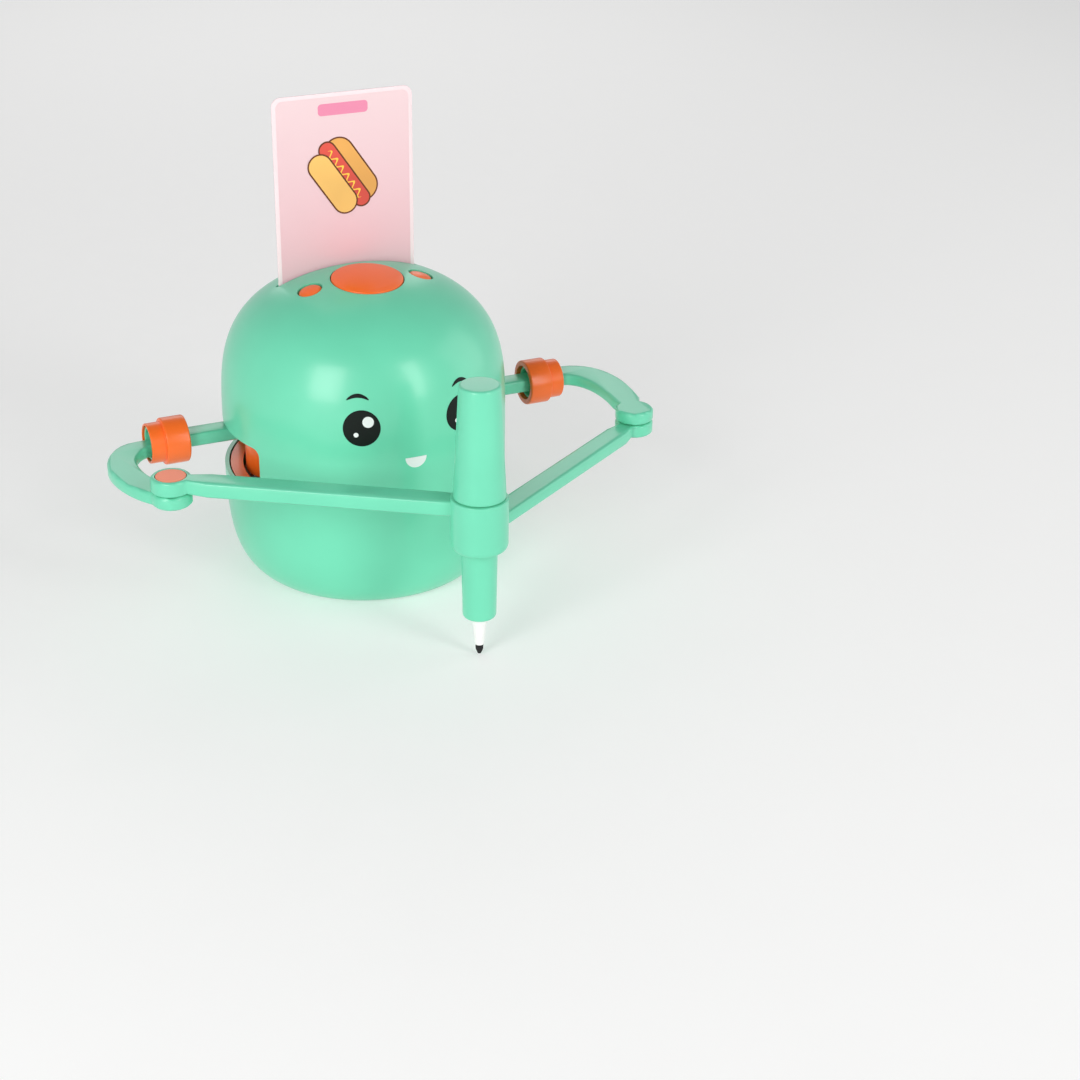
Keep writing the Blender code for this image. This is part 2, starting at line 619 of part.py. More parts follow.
def make_elbow_pin(side, looks, owner):
    """Snap pin whose head fills a seat in the forearm: from above at the left, from below at the right."""
    low = min(UPPER_ARM_Z[side][0], FOREARM_Z[side][0])
    high = max(UPPER_ARM_Z[side][1], FOREARM_Z[side][1])
    if side == "left":
        seat = high - PIN_HEAD_THICKNESS
        outline = [(0, high), (PIN_HEAD_RADIUS, high), (PIN_HEAD_RADIUS, seat), (PIN_RADIUS, seat)]
        outline += [(PIN_RADIUS, low + 0.0004), (0, low + 0.0004)]
    else:
        seat = low + PIN_HEAD_THICKNESS
        outline = [(0, high - 0.0014), (PIN_RADIUS, high - 0.0014), (PIN_RADIUS, seat)]
        outline += [(PIN_HEAD_RADIUS, seat), (PIN_HEAD_RADIUS, low), (0, low)]
    turned(f"{side}_elbow_pin", outline, looks["orange"], ELBOW_AT[side], 24, owner)


def forearm_bar(side, name, look, owner, end_radius):
    """Straight bar with a round eye at the elbow and one round the pen."""
    low, high = FOREARM_Z[side]
    spans = 8
    ends = (*ELBOW_AT[side], FOREARM_WIDTH), (*PEN_AT, FOREARM_WIDTH)
    stations = [
        tuple(ends[0][k] + (ends[1][k] - ends[0][k]) * i / spans for k in range(3)) for i in range(spans + 1)
    ]
    outline = arm_plan(stations, end_radius, ELBOW_RADIUS)
    return prism(name, outline, low, high, look, owner, 0.0007)


def collar_shape():
    """Solid turning of the collar that carries the pen, rounded at the bottom."""
    wide, low = COLLAR_RADIUS, COLLAR_BOTTOM
    outline = [(0, COLLAR_TOP), (wide - 0.0003, COLLAR_TOP), (wide, COLLAR_TOP - 0.0003), (wide, low + 0.0026)]
    outline += [(wide - 0.0004, low + 0.0013), (wide - 0.0013, low + 0.0004), (wide - 0.0022, low), (0, low)]
    return turned("collar_shape", outline, None, PEN_AT, 40)


def slot_sector():
    """Plan outline of the sector that the right forearm swings through, out to past the collar."""
    start, end = COLLAR_SLOT
    steps, inner, outer = 12, 0.0060, 0.0160
    turns = [start + (end - start) * step / steps for step in range(steps + 1)]
    rim = [(PEN_AT[0] + outer * cos(a), PEN_AT[1] + outer * sin(a)) for a in turns]
    return rim + [(PEN_AT[0] + inner * cos(a), PEN_AT[1] + inner * sin(a)) for a in reversed(turns)]


def make_forearm(side, parent, looks):
    low, high = FOREARM_Z[side]
    elbow = ELBOW_AT[side]
    owner = pivot(f"{side}_elbow", (*elbow, (low + high) / 2), parent)
    if side == "left":
        made = forearm_bar(side, "left_forearm", looks["mint"], owner, COLLAR_RADIUS - 0.0004)
        cut(made, cutter(collar_shape()), "UNION")
        drill(made, "collar_mouth", HOLDER_BORE_RADIUS + 0.0012, PEN_AT, 0.04, 0.07, 32)
        drill(made, "collar_bore", COLLAR_BORE_RADIUS, PEN_AT, 0.04, high - 0.0008, 40)
        cut(made, cutter(prism("collar_slot", slot_sector(), *COLLAR_SLOT_Z, None)))
    else:
        made = forearm_bar(side, "right_forearm", looks["mint"], owner, RING_RADIUS)
        drill(made, "right_ring_bore", RING_BORE_RADIUS, PEN_AT, 0.04, 0.07, 32)
    drill(made, f"{side}_forearm_pin_hole", PIN_RADIUS + GAP, elbow, 0.04, 0.07)
    head = PIN_HEAD_THICKNESS + GAP
    bottom, top = (high - head, 0.07) if side == "left" else (0.04, low + head)
    drill(made, f"{side}_pin_seat", PIN_HEAD_RADIUS + GAP, elbow, bottom, top, 24)
    return owner


# ---- Pen ----
def make_holder(owner, looks):
    """Bush that the pen stands in, above the right forearm's ring, and the nut below that ring."""
    wide = COLLAR_BORE_RADIUS - GAP
    shelf = FOREARM_Z["left"][1] - 0.0008 - GAP
    foot = FOREARM_Z["right"][1] + 2 * GAP
    bush = [(HOLDER_BORE_RADIUS, COLLAR_TOP), (HOLDER_BORE_RADIUS + 0.0009, COLLAR_TOP)]
    bush += [(HOLDER_BORE_RADIUS + 0.0009, shelf), (wide, shelf), (wide, foot), (HOLDER_BORE_RADIUS, foot)]
    turned("pen_holder", bush, looks["mint"], PEN_AT, 32, owner)
    nut_top = FOREARM_Z["right"][0] - 2 * GAP
    nut = [(HOLDER_BORE_RADIUS, nut_top), (wide, nut_top), (wide, COLLAR_BOTTOM + 0.0036)]
    nut += [(HOLDER_BORE_RADIUS, COLLAR_BOTTOM + 0.0036)]
    turned("pen_holder_nut", nut, looks["mint"], PEN_AT, 32, owner)


def make_pen(parent, looks):
    owner = pivot("pen_slide", (*PEN_AT, COLLAR_TOP), parent)
    seat = COLLAR_TOP + GAP
    wide, narrow = PEN_UPPER_RADII
    socket = PEN_LOWER_RADII[0] + GAP
    soft = 0.0012
    upper = [(0, PEN_TOP), (narrow - soft, PEN_TOP), (narrow - 0.3 * soft, PEN_TOP - 0.3 * soft)]
    upper += [(narrow, PEN_TOP - soft), (wide, seat), (socket, seat), (socket, seat + 0.0090)]
    bore = FELT_PEN_RADIUS + GAP
    upper += [(bore, seat + 0.0090), (bore, PEN_TOP - 0.0030), (0, PEN_TOP - 0.0030)]
    turned("pen_upper_sleeve", upper, looks["mint"], PEN_AT, 28, owner)

    wide, narrow = PEN_LOWER_RADII
    end = PEN_LOWER_END
    mouth = NOSE_RADII[0] + GAP
    lower = [(bore, seat + 0.0085), (wide, seat + 0.0085), (wide, COLLAR_BOTTOM - 0.0010)]
    lower += [(narrow, end + 0.0022), (narrow - 0.0006, end + 0.0007), (narrow - 0.0020, end)]
    lower += [(mouth, end), (mouth, end + 0.0025), (bore, end + 0.0025)]
    turned("pen_lower_sleeve", lower, looks["mint"], PEN_AT, 28, owner)

    barrel_low = end + 0.0025 + GAP
    core = FELT_PEN_RADIUS - 0.0010
    barrel = [(0, PEN_TOP - 0.0034), (FELT_PEN_RADIUS, PEN_TOP - 0.0034), (FELT_PEN_RADIUS, barrel_low)]
    barrel += [(core, barrel_low), (core, PEN_TOP - 0.0050), (0, PEN_TOP - 0.0050)]
    turned("felt_pen_barrel", barrel, looks["white"], PEN_AT, 20, owner)
    ink = core - GAP
    core_low = barrel_low + 0.0040
    core_outline = [(0, PEN_TOP - 0.0080), (ink, PEN_TOP - 0.0080), (ink, core_low), (0, core_low)]
    turned("ink_core", core_outline, looks["felt"], PEN_AT, 12, owner)

    root, waist, point = NOSE_RADII
    nib_bore = 0.0013
    nose = [(nib_bore, core_low - GAP), (root - GAP, core_low - GAP), (root - GAP, 0.0135), (waist, 0.0120)]
    nose += [(waist - 0.0002, 0.0090), (point + 0.0002, 0.0080), (point, NIB_TOP), (nib_bore, NIB_TOP)]
    turned("felt_pen_nose", nose, looks["white"], PEN_AT, 16, owner)
    nib = nib_bore - GAP
    nib_outline = [(0, core_low - 0.0010), (nib, core_low - 0.0010), (nib, NIB_TOP - GAP)]
    nib_outline += [(0.0015, NIB_TOP - GAP), (0.0014, 0.0024), (0.0006, NIB_TIP), (0, NIB_TIP)]
    turned("pen_nib", nib_outline, looks["felt"], PEN_AT, 12, owner)


def main():
    clear_scene()
    looks = make_materials()
    make_shells(looks)
    make_top_controls(looks)
    make_card_parts(looks)
    for side in ("left", "right"):
        make_lining(side, looks)
    make_base(looks)
    make_power(looks)
    make_chassis(looks)
    for side in ("left", "right"):
        shoulder = make_upper_arm(side, looks)
        make_elbow_pin(side, looks, shoulder)
        elbow = make_forearm(side, shoulder, looks)
        if side == "left":
            make_holder(elbow, looks)
            make_pen(elbow, looks)


main()
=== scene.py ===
"""Looks of the desktop drawing robot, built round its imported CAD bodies.

Metres, +Z up. The origin is the centre of the body where it stands, and the robot faces -Y.
Left and right are as seen from in front of it, so left is towards -X.
"""

import json
from math import cos, hypot, pi, radians, sin, sqrt

import bmesh
import bpy
from mathutils import Matrix, Vector

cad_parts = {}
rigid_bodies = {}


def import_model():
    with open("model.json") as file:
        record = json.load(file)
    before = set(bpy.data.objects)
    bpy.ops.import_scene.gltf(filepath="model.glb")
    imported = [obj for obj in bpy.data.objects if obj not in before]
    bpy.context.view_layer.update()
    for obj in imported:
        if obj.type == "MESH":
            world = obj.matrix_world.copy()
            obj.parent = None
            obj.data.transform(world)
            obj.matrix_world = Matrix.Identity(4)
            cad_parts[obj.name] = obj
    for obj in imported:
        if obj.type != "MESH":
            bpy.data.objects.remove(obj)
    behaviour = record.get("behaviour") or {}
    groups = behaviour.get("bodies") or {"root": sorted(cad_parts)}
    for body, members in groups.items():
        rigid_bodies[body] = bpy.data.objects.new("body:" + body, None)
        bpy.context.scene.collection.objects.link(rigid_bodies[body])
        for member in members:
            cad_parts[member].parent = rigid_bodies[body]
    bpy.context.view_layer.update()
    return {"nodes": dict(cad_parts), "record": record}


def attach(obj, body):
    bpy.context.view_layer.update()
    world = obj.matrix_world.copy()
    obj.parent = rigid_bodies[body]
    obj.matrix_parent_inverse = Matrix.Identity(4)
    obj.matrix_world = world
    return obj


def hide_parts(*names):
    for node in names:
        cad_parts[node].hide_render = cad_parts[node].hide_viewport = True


for startup_object in list(bpy.data.objects):
    bpy.data.objects.remove(startup_object)
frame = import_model()

# ---- Sizes of the CAD bodies that finer pieces stand for ----
GAP = 0.0003
RUNNING_GAP = 0.0004
BODY_RADIUS = 0.0552
WIDEST_Z = 0.0568
BODY_TOP = 0.1192
SHELL_BOTTOM = 0.0006
SHELL_WALL = 0.0016
SHOULDER_ROUNDING = (3.82, 1.94)  # superellipse powers along Z and along the radius, upper half
FOOT_ROUNDING = (4.17, 5.99)  # the same, lower half
LOWER_REACH = 0.0611
BASE_OPENING_RADIUS = 0.0385
PARTING_Y = 0.0400
WINDOW_FROM = radians(66)
WINDOW_TO = radians(132)
WINDOW_BOTTOM = 0.0420
WINDOW_TOP = 0.0618
WINDOW_CORNER = 0.0030
BUTTONS = (  # name, place on the plan, radius
    ("start_button", (0.0, -0.0068), 0.0137),
    ("left_button", (-0.0224, -0.0050), 0.0045),
    ("right_button", (0.0224, -0.0050), 0.0045),
)
BUTTON_TRAVEL = 0.0012
SWITCH_TOP = 0.1031
CARD_WIDTH = 0.0552
CARD_THICKNESS = 0.0006
CARD_HEIGHT = 0.0860
CARD_BOTTOM_Z = 0.0990
CARD_X = -0.0016
CARD_Y = 0.0115
SLOT_SIZE = (0.0570, 0.0026)
SHOULDER_X = 0.0320
SHOULDER_Y = 0.0104
ARM_AXIS_Z = 0.0570
HUB_RADIUS = 0.0134
HUB_BOTTOM = 0.0384
HUB_TOP = 0.0630
STUB_WIDTH = 0.0084
STUB_HEIGHT = 0.0054
CUFF_INNER_X = {"left": 0.0696, "right": 0.0728}
CUFF_BIG_LENGTH = 0.0093
CUFF_SMALL_LENGTH = 0.0057
CUFF_BIG_RADIUS = 0.0091
CUFF_SMALL_RADIUS = 0.0078
CUFF_BORE_RADIUS = 0.0069
SLEEVE_RADIUS = 0.0066
SLEEVE_BORE_RADIUS = 0.0056
PEN_AT = (0.0081, -0.0962)
COLLAR_BOTTOM = 0.0440
COLLAR_TOP = 0.0647
PEN_TOP = 0.1080
PEN_UPPER_RADII = (0.0096, 0.0075)
PEN_LOWER_RADII = (0.0066, 0.0062)
PEN_LOWER_END = 0.0165
FELT_PEN_RADIUS = 0.0042
NOSE_RADII = (0.0031, 0.0024, 0.0018)
NIB_TOP = 0.0046
NIB_TIP = 0.0005
SIDES = (("left", -1), ("right", 1))

# ---- Printed face, measured round the barrel from the middle of its front ----
EYE_AZIMUTH = radians(21)
EYE_Z = 0.0774
EYE_RADIUS = 0.00695
BROW_AZIMUTH = radians(22.4)
BROW_Z = 0.0880
BROW_HALF_LENGTH = 0.0042
BROW_BOW = 0.0016
BROW_HALF_THICKNESS = 0.00075
SMILE_Z = 0.0643
SMILE_RADIUS = 0.0042
PRINT_LIFT = 0.00002  # first layer of print above the barrel
SECOND_PRINT_LIFT = 0.00005

# ---- Printed card ----
CARD_CORNER = 0.0035
GROUND_MARGIN = 0.0015
LABEL_SIZE = (0.0196, 0.0045)
LABEL_BELOW_TOP = 0.0062
PICTURE_ABOVE_BOTTOM = 0.0545
PICTURE_TILT = radians(-56)

# ---- Shading ----
SMOOTH_UP_TO = 32  # degrees between faces of a turned or extruded piece
CREASE_FROM = 50  # degrees between faces of a CAD node or a print
ON_SURFACE = 3e-5

# ---- Colours, linear ----
MINT = (0.150, 0.655, 0.425)
ORANGE = (0.97, 0.155, 0.015)
WHITE = (0.85, 0.85, 0.83)
EYE_BLACK = (0.004, 0.008, 0.006)
CARD_EDGE = (0.86, 0.70, 0.72)
CARD_PINK_TOP = (0.80, 0.60, 0.62)
CARD_PINK_LOW = (0.76, 0.48, 0.52)
LABEL_PINK = (0.78, 0.24, 0.38)
BUN = (0.86, 0.50, 0.13)
BUN_DARK = (0.74, 0.36, 0.08)
SAUSAGE = (0.66, 0.07, 0.045)
MUSTARD = (0.95, 0.58, 0.06)
BUN_LINE = (0.13, 0.035, 0.012)


# ---- Materials ----
def noise(tree, scale, detail=3.0, coordinate=None):
    """Noise on the piece's own coordinates, in cells of 1 / scale metres."""
    made = tree.nodes.new("ShaderNodeTexNoise")
    made.inputs["Scale"].default_value = scale
    made.inputs["Detail"].default_value = detail
    place = coordinate or tree.nodes.new("ShaderNodeTexCoord")
    tree.links.new(place.outputs["Object"], made.inputs["Vector"])
    return made.outputs["Fac"]


def spread(tree, value, low, high):
    """Maps the middle of a noise's range to low..high."""
    made = tree.nodes.new("ShaderNodeMapRange")
    made.clamp = False
    made.inputs["From Min"].default_value = 0.3
    made.inputs["From Max"].default_value = 0.7
    made.inputs["To Min"].default_value = low
    made.inputs["To Max"].default_value = high
    tree.links.new(value, made.inputs["Value"])
    return made.outputs["Result"]


def mottled(tree, colour, amount, factor):
    """The colour, a little lighter or darker by the factor."""
    mix = tree.nodes.new("ShaderNodeMix")
    mix.data_type = "RGBA"
    mix.inputs[6].default_value = (*[c * (1 - amount) for c in colour], 1)
    mix.inputs[7].default_value = (*[min(1, c * (1 + amount)) for c in colour], 1)
    tree.links.new(factor, mix.inputs["Factor"])
    return mix.outputs[2]


def finish(name, colour, rough, grain, bump, coat=0.0, metal=0.0, blotch=0.03, shine=0.5):
    """Moulded or printed surface: slow colour drift, grain in the gloss, and a fine bump.

    `rough` is the range of its roughness, `grain` the scale of its bump in cells per metre, and
    `blotch` how far the colour drifts.
    """
    made = bpy.data.materials.new(name)
    made.use_nodes = True
    tree = made.node_tree
    shader = tree.nodes["Principled BSDF"]
    place = tree.nodes.new("ShaderNodeTexCoord")
    drift = spread(tree, noise(tree, 35.0, 2.0, place), 0.0, 1.0)
    tree.links.new(mottled(tree, colour, blotch, drift), shader.inputs["Base Color"])
    tree.links.new(spread(tree, noise(tree, grain * 0.3, 4.0, place), *rough), shader.inputs["Roughness"])
    relief = tree.nodes.new("ShaderNodeBump")
    relief.inputs["Strength"].default_value = bump
    relief.inputs["Distance"].default_value = 0.00004
    tree.links.new(noise(tree, grain, 5.0, place), relief.inputs["Height"])
    tree.links.new(relief.outputs["Normal"], shader.inputs["Normal"])
    shader.inputs["Metallic"].default_value = metal
    shader.inputs["Coat Weight"].default_value = coat
    shader.inputs["Coat Roughness"].default_value = 0.12
    shader.inputs["IOR"].default_value = 1.49
    shader.inputs["Specular IOR Level"].default_value = shine
    made.diffuse_color = (*colour, 1)
    return made


def card_gradient(name, low_z, high_z):
    """Printed ground of the card, paler towards the bottom."""
    made = finish(name, CARD_PINK_TOP, (0.34, 0.46), 1500.0, 0.03)
    tree = made.node_tree
    place = tree.nodes.new("ShaderNodeTexCoord")
    split = tree.nodes.new("ShaderNodeSeparateXYZ")
    ramp = tree.nodes.new("ShaderNodeMapRange")
    mix = tree.nodes.new("ShaderNodeMix")
    mix.data_type = "RGBA"
    ramp.inputs["From Min"].default_value = low_z
    ramp.inputs["From Max"].default_value = high_z
    mix.inputs[6].default_value = (*CARD_PINK_LOW, 1)
    mix.inputs[7].default_value = (*CARD_PINK_TOP, 1)
    tree.links.new(place.outputs["Object"], split.inputs["Vector"])
    tree.links.new(split.outputs["Z"], ramp.inputs["Value"])
    tree.links.new(ramp.outputs["Result"], mix.inputs["Factor"])
    tree.links.new(mix.outputs[2], tree.nodes["Principled BSDF"].inputs["Base Color"])
    return made


def make_looks():
    """Finishes by material slot, and those of the prints."""
    return {
        "mint_plastic": finish("mint_moulding", MINT, (0.285, 0.305), 2400.0, 0.04, coat=0.15),
        "orange_plastic": finish("orange_moulding", ORANGE, (0.30, 0.33), 2400.0, 0.04, coat=0.1),
        "white_plastic": finish("white_moulding", WHITE, (0.34, 0.44), 900.0, 0.05),
        "dark_plastic": finish("dark_moulding", (0.03, 0.03, 0.035), (0.42, 0.55), 1200.0, 0.12),
        "grey_rubber": finish("grey_rubber_foot", (0.09, 0.09, 0.09), (0.75, 0.9), 1500.0, 0.25),
        "circuit_board": finish("green_board", (0.02, 0.20, 0.07), (0.35, 0.5), 1600.0, 0.15, blotch=0.15),
        "zinc_plated_steel": finish("zinc_plate", (0.60, 0.60, 0.58), (0.24, 0.4), 1800.0, 0.1, metal=1.0),
        "battery_wrap": finish("battery_sleeve", (0.30, 0.02, 0.02), (0.3, 0.4), 800.0, 0.05),
        "printed_card": finish("card_stock", CARD_EDGE, (0.36, 0.5), 1800.0, 0.05),
        "black_felt": finish("felt_tip", (0.012, 0.012, 0.012), (0.85, 0.95), 2600.0, 0.5),
        "card_ground": card_gradient("card_ground", CARD_BOTTOM_Z + 0.02, CARD_BOTTOM_Z + CARD_HEIGHT),
        "label": finish("label_ink", LABEL_PINK, (0.34, 0.46), 1500.0, 0.03),
        "bun": finish("bun_ink", BUN, (0.34, 0.46), 1500.0, 0.03, blotch=0.10),
        "bun_dark": finish("bun_shade_ink", BUN_DARK, (0.34, 0.46), 1500.0, 0.03, blotch=0.08),
        "sausage": finish("sausage_ink", SAUSAGE, (0.34, 0.46), 1500.0, 0.03, blotch=0.10),
        "mustard": finish("mustard_ink", MUSTARD, (0.34, 0.46), 1500.0, 0.03),
        "bun_line": finish("outline_ink", BUN_LINE, (0.34, 0.46), 1500.0, 0.03, shine=0.3),
        "eye_black": finish("eye_print", EYE_BLACK, (0.34, 0.38), 2400.0, 0.02, shine=0.2),
        "eye_white": finish("white_print", (0.80, 0.84, 0.82), (0.3, 0.34), 2400.0, 0.02),
    }


# ---- Mesh building ----
def add(name, mesh, sharp=SMOOTH_UP_TO):
    """Puts a bmesh into the scene, shaded smooth up to the sharp angle in degrees."""
    bmesh.ops.remove_doubles(mesh, verts=mesh.verts, dist=1e-7)
    bmesh.ops.recalc_face_normals(mesh, faces=mesh.faces)
    data = bpy.data.meshes.new(name)
    mesh.to_mesh(data)
    mesh.free()
    data.shade_smooth()
    data.set_sharp_from_angle(angle=radians(sharp))
    made = bpy.data.objects.new(name, data)
    bpy.context.scene.collection.objects.link(made)
    return made


def dress(made, body, look, slot_name, *replaced):
    """Gives a piece its material, the body that it rides on, and the CAD nodes that it stands for."""
    made.data.materials.clear()
    made.data.materials.append(look)
    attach(made, body)
    if replaced:
        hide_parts(*replaced)
    return made


def fillet(outline, radius, steps=5):
    """Rounds the corners of a closed outline whose points are (across, along) or (across, along, radius)."""
    rounded = []
    count = len(outline)
    for i, point in enumerate(outline):
        here = Vector(point[:2])
        before = Vector(outline[i - 1][:2]) - here
        after = Vector(outline[(i + 1) % count][:2]) - here
        wanted = point[2] if len(point) > 2 else radius
        if wanted <= 0 or here.x < 1e-6:
            rounded.append(tuple(here))
            continue
        half = before.angle(after) / 2
        if half > radians(86):
            rounded.append(tuple(here))
            continue
        reach = min(wanted / max(sin(half) / cos(half), 1e-6), before.length * 0.49, after.length * 0.49)
        start = here + before.normalized() * reach
        end = here + after.normalized() * reach
        for step in range(steps + 1):
            t = step / steps
            rounded.append(tuple(start * (1 - t) ** 2 + here * 2 * t * (1 - t) + end * t * t))
    return rounded


def turned(name, outline, at=(0, 0, 0), along=(0, 0, 1), steps=96):
    """Turns a closed outline of (radius, height) round the axis through `at`."""
    mesh = bmesh.new()
    rings = []
    for radius, height in outline:
        if radius < 1e-6:
            rings.append([mesh.verts.new((0, 0, height))])
            continue
        turns = [2 * pi * step / steps for step in range(steps)]
        rings.append([mesh.verts.new((radius * cos(a), radius * sin(a), height)) for a in turns])
    for ring, following in zip(rings, rings[1:] + rings[:1]):
        join(mesh, ring, following)
    turn = Vector((0, 0, 1)).rotation_difference(Vector(along)).to_matrix().to_4x4()
    bmesh.ops.transform(mesh, matrix=Matrix.Translation(at) @ turn, verts=mesh.verts)
    return add(name, mesh)


def join(mesh, ring, following):
    """Faces between two rings, either of which may be a single point on the axis."""
    count = max(len(ring), len(following))
    if count == 1:
        return
    for i in range(count):
        j = (i + 1) % count
        if len(ring) == 1:
            mesh.faces.new((ring[0], following[i], following[j]))
        elif len(following) == 1:
            mesh.faces.new((ring[i], following[0], ring[j]))
        else:
            mesh.faces.new((ring[i], following[i], following[j], ring[j]))


def rounded_rectangle(width, depth, corner, x=0.0, y=0.0, steps=8):
    """Plan outline of a rectangle with round corners."""
    points = []
    for quarter, (sx, sy) in enumerate(((1, 1), (-1, 1), (-1, -1), (1, -1))):
        cx = x + sx * (width / 2 - corner)
        cy = y + sy * (depth / 2 - corner)
        for step in range(steps + 1):
            angle = (quarter + step / steps) * pi / 2
            points.append((cx + corner * cos(angle), cy + corner * sin(angle)))
    return points


def slab(name, outline, low, high, matrix=None, soft=0.0, sharp=SMOOTH_UP_TO):
    """Extrudes a closed plan outline along its own Z, and then places it."""
    mesh = bmesh.new()
    floor = mesh.faces.new([mesh.verts.new((x, y, low)) for x, y in outline])
    grown = bmesh.ops.extrude_face_region(mesh, geom=[floor])
    raised = [item for item in grown["geom"] if isinstance(item, bmesh.types.BMVert)]
    bmesh.ops.translate(mesh, verts=raised, vec=(0, 0, high - low))
    if soft:
        rims = [edge for edge in mesh.edges if abs(edge.verts[0].co.z - edge.verts[1].co.z) < 1e-7]
        bmesh.ops.bevel(mesh, geom=rims, offset=soft, segments=2, profile=0.5, affect="EDGES")
    if matrix is not None:
        bmesh.ops.transform(mesh, matrix=matrix, verts=mesh.verts)
    return add(name, mesh, sharp)


def carve(target, tools, operation="DIFFERENCE"):
    """Carries out Booleans on the target and removes their tools."""
    for tool in tools:
        change = target.modifiers.new("carve", "BOOLEAN")
        change.operation = operation
        change.solver = "EXACT"
        change.object = tool
    bpy.context.view_layer.update()
    graph = bpy.context.evaluated_depsgraph_get()
    result = bpy.data.meshes.new_from_object(target.evaluated_get(graph))
    target.modifiers.clear()
    target.data = result
    for tool in tools:
        bpy.data.objects.remove(tool)
    return target


# ---- Body ----
def body_radius(height):
    """Radius of the barrel's outside at a height."""
    along, across = SHOULDER_ROUNDING if height >= WIDEST_Z else FOOT_ROUNDING
    reach = BODY_TOP - WIDEST_Z if height >= WIDEST_Z else LOWER_REACH
    share = min(abs(height - WIDEST_Z) / reach, 1)
    return BODY_RADIUS * (1 - share**along) ** (1 / across)


def dome_height(x, y):
    """Height of the barrel's outside over a point of the plan, upper half."""
    along, across = SHOULDER_ROUNDING
    out = hypot(x, y) / BODY_RADIUS
    return WIDEST_Z + (BODY_TOP - WIDEST_Z) * (1 - out**across) ** (1 / along)


def body_normal(point):
    """Unit vector square to the barrel's outside at a point of it."""
    upper = point.z >= WIDEST_Z
    along, across = SHOULDER_ROUNDING if upper else FOOT_ROUNDING
    reach = BODY_TOP - WIDEST_Z if upper else LOWER_REACH
    out = max(hypot(point.x, point.y), 1e-9)
    share = abs(point.z - WIDEST_Z) / reach
    rise = along * share ** (along - 1) / reach * (1 if upper else -1)
    spread_out = across * (out / BODY_RADIUS) ** (across - 1) / BODY_RADIUS
    return Vector((spread_out * point.x / out, spread_out * point.y / out, rise)).normalized()


def body_outline(inset=0.0, steps=56, bottom=SHELL_BOTTOM):
    """(radius, height) down the outer side of the barrel, from the top's middle to the bottom."""
    radius = BODY_RADIUS - inset
    along, across = SHOULDER_ROUNDING
    rise = BODY_TOP - WIDEST_Z - inset
    points = []
    for step in range(steps + 1):
        turn = pi / 2 * step / steps
        points.append((radius * sin(turn) ** (2 / across), WIDEST_Z + rise * cos(turn) ** (2 / along)))
    along, across = FOOT_ROUNDING
    drop = LOWER_REACH - inset
    for step in range(1, steps + 1):
        height = WIDEST_Z - (WIDEST_Z - bottom) * sin(pi / 2 * step / steps)
        depth = (WIDEST_Z - height) / drop
        points.append((radius * (1 - depth**along) ** (1 / across), height))
    return points


def window_tool(sign):
    """A rounded rectangle that passes straight out through the wall, square to the window's middle."""
    middle = (WINDOW_FROM + WINDOW_TO) / 2
    width = 2 * BODY_RADIUS * sin((WINDOW_TO - WINDOW_FROM) / 2)
    outline = rounded_rectangle(width, WINDOW_TOP - WINDOW_BOTTOM, WINDOW_CORNER)
    outward = Vector((sign * sin(middle), -cos(middle), 0))
    upward = Vector((0, 0, 1))
    turn = Matrix((upward.cross(outward), upward, outward)).transposed().to_4x4()
    height = Vector((0, 0, (WINDOW_TOP + WINDOW_BOTTOM) / 2))
    return slab("window_tool", outline, 0.0250, 0.0700, Matrix.Translation(height) @ turn)


def box_tool(centre, size):
    """A plain block that cuts and is then removed."""
    width, depth, height = size
    corners = ((-1, -1), (1, -1), (1, 1), (-1, 1))
    outline = [(x * width / 2, y * depth / 2) for x, y in corners]
    return slab("box_tool", outline, -height / 2, height / 2, Matrix.Translation(centre))


def hole_tools():
    """Shafts for the three buttons, square to the barrel's top, and the card's slot."""
    made = []
    for _, at, radius in BUTTONS:
        seat = Vector((*at, dome_height(*at)))
        wide = radius + RUNNING_GAP
        shaft = [(0, 0.008), (wide, 0.008), (wide, -0.008), (0, -0.008)]
        made.append(turned("hole_tool", shaft, seat, body_normal(seat), 72))
    slot = rounded_rectangle(*SLOT_SIZE, 0.0008, CARD_X, CARD_Y)
    made.append(slab("slot_tool", slot, BODY_TOP - 0.015, BODY_TOP + 0.015))
    return made


def on_barrel(point):
    """Whether a point lies on the barrel's outside."""
    out = hypot(point.x, point.y)
    if abs(out - body_radius(point.z)) < ON_SURFACE:
        return True
    if out >= 0.8 * BODY_RADIUS or point.z <= WIDEST_Z:
        return False
    return abs(point.z - dome_height(point.x, point.y)) < ON_SURFACE


def smooth_outside(made):
    """Shades the barrel's outside by its true curve, and every other face by its own plane."""
    data = made.data
    data.shade_smooth()
    normals = []
    for face in data.polygons:
        for loop in face.loop_indices:
            point = data.vertices[data.loops[loop].vertex_index].co
            true_normal = body_normal(point)
            follows = on_barrel(point) and true_normal.dot(face.normal) >= 0.85
            normals.append(true_normal if follows else face.normal)
    data.normals_split_custom_set(normals)


